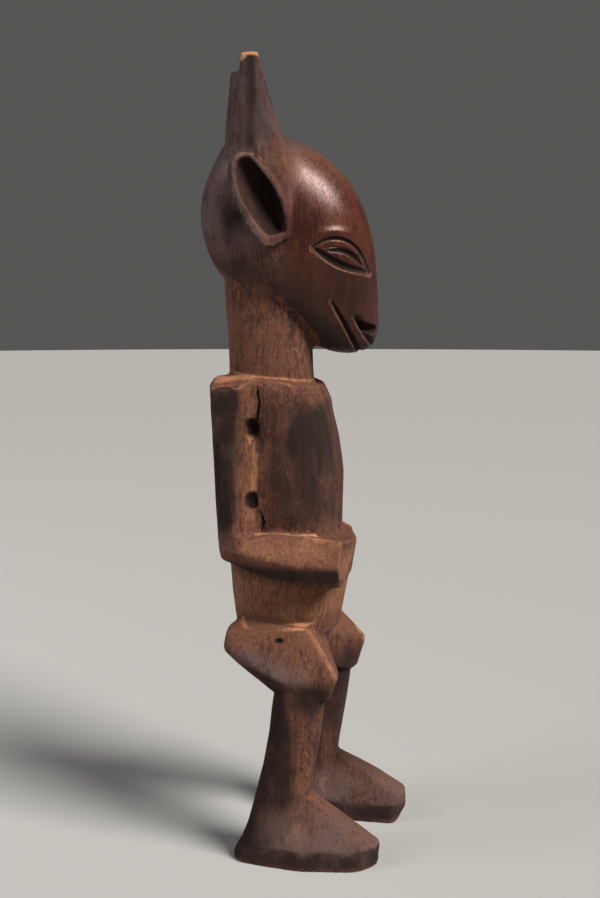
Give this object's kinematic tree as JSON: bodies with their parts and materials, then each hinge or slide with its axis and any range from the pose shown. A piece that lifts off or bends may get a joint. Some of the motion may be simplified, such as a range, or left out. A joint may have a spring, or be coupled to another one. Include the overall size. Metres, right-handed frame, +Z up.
{
  "type": "wooden antelope-headed figure",
  "caption": "Standing carved wooden figure with a human body, a turned antelope head, upright horns and forearms held along the waist.",
  "frame": {"origin": "middle of the figure's bounding box, on the floor that its feet stand on", "axes": "+Z up to the horns, the body faces -Y, its right side is towards -X"},
  "size_m": [0.0968, 0.1028, 0.4],
  "materials": {
    "dark_wood": "hand-carved and worn, with a dark brown patina that is polished on the head"
  },
  "bodies": {
    "root": {"antelope_figure": "dark_wood"}
  },
  "joints": []
}
